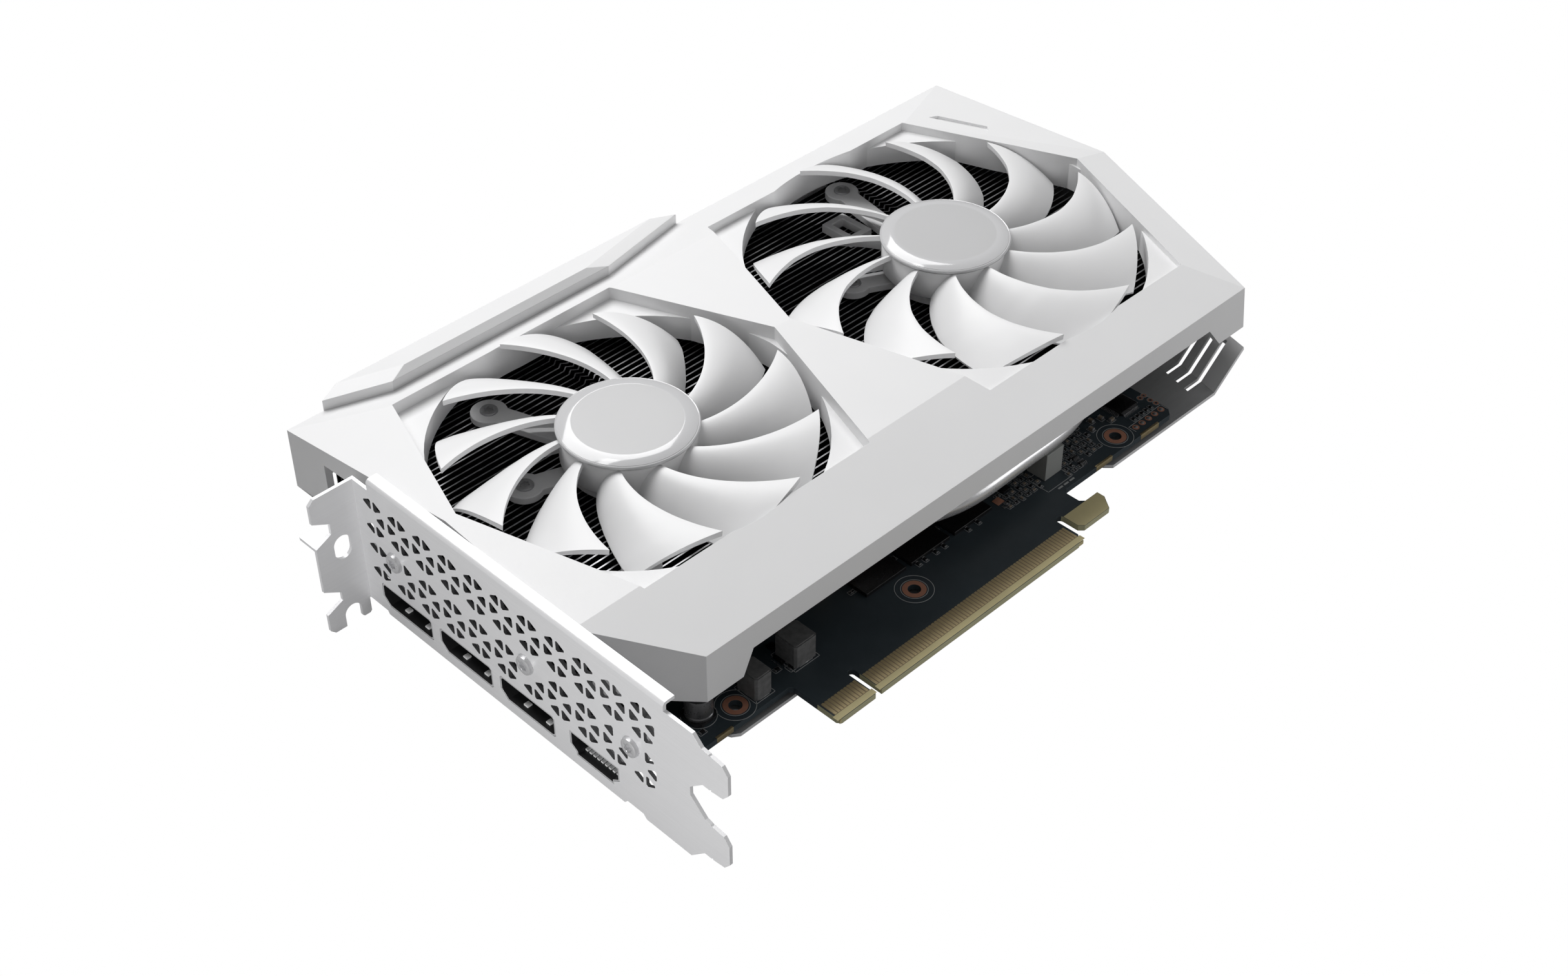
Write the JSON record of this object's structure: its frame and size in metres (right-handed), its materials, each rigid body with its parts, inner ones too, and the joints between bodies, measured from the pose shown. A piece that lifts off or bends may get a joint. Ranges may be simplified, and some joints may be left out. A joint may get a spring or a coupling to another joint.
{
  "type": "graphics card",
  "caption": "Dual-fan graphics card with a faceted white shroud, fin-stack cooler, vented slot bracket with display sockets, folded backplate and board-edge connector.",
  "frame": {"origin": "centre of the key notch in the card-edge connector, at the connector's tip edge, on the component side of the circuit board", "axes": "+X along the board from the bracket to the tail; +Y out of the slot, from the edge connector towards the card's far long edge; +Z from the board's component side towards the fans"},
  "size_m": [0.2458, 0.1515, 0.0445],
  "materials": {
    "board": "satin dark solder mask",
    "contact_gold": "satin",
    "bare_copper": "satin",
    "bracket_steel": "satin nickel",
    "screw_steel": "satin",
    "socket_metal": "satin",
    "black_plastic": "matte",
    "white_plastic": "satin",
    "lamp_plastic": "soft gloss",
    "plate_metal": "satin grey",
    "fin_metal": "dark anodised",
    "pipe_metal": "polished nickel",
    "copper_plate": "satin copper",
    "package_green": "matte",
    "silicon": "polished",
    "chip_black": "matte",
    "pad_grey": "soft",
    "choke_grey": "pressed powder",
    "can_metal": "satin",
    "small_part": "matte",
    "cap_plastic": "soft gloss",
    "frame_plastic": "matte",
    "header_plastic": "matte",
    "connector_grey": "matte",
    "magnet": "bonded magnet",
    "winding": "enamelled",
    "bearing_bronze": "sintered"
  },
  "bodies": {
    "card": {"pcb": "board", "edge_contacts": "contact_gold", "board_hole_rings": "bare_copper", "io_bracket": "bracket_steel", "bracket_screws": "screw_steel", "av_socket_shell": "socket_metal", "av_socket_tongue": "black_plastic", "display_socket_shells": "socket_metal", "display_socket_tongues": "black_plastic", "shroud": "white_plastic", "side_light_bar": "lamp_plastic", "backplate": "plate_metal", "backplate_screws": "screw_steel", "front_fin_stack": "fin_metal", "rear_fin_stack": "fin_metal", "heat_pipes": "pipe_metal", "cold_plate": "copper_plate", "gpu_package": "package_green", "gpu_die": "silicon", "memory_chips": "chip_black", "thermal_pads": "pad_grey", "chokes": "choke_grey", "mosfets": "chip_black", "tall_capacitors": "can_metal", "small_capacitors": "small_part", "controller_chips": "chip_black", "lamp_connector": "connector_grey", "fan_headers": "header_plastic", "power_inlet": "black_plastic", "power_pins": "contact_gold", "retention_screws": "screw_steel", "retention_springs": "screw_steel", "bracket_mounts": "black_plastic", "front_fan_frame": "frame_plastic", "front_stator": "winding", "front_bearing": "bearing_bronze", "rear_fan_frame": "frame_plastic", "rear_stator": "winding", "rear_bearing": "bearing_bronze", "fan_frame_screws": "screw_steel", "fan_cable_clip": "frame_plastic", "shroud_screws": "screw_steel", "heatsink_standoffs": "bearing_bronze"},
    "front_fan": {"front_fan_rotor": "white_plastic", "front_hub_cap": "cap_plastic", "front_fan_shaft": "screw_steel", "front_magnet_ring": "magnet"},
    "rear_fan": {"rear_fan_rotor": "white_plastic", "rear_hub_cap": "cap_plastic", "rear_fan_shaft": "screw_steel", "rear_magnet_ring": "magnet"}
  },
  "joints": [
    {"name": "front_fan_spin", "type": "hinge", "parent": "card", "child": "front_fan", "pos_m": [-0.0026, 0.0783, 0.03], "axis": [0, 0, 1], "continuous": true},
    {"name": "rear_fan_spin", "type": "hinge", "parent": "card", "child": "rear_fan", "pos_m": [0.1074, 0.0783, 0.03], "axis": [0, 0, 1], "continuous": true}
  ]
}
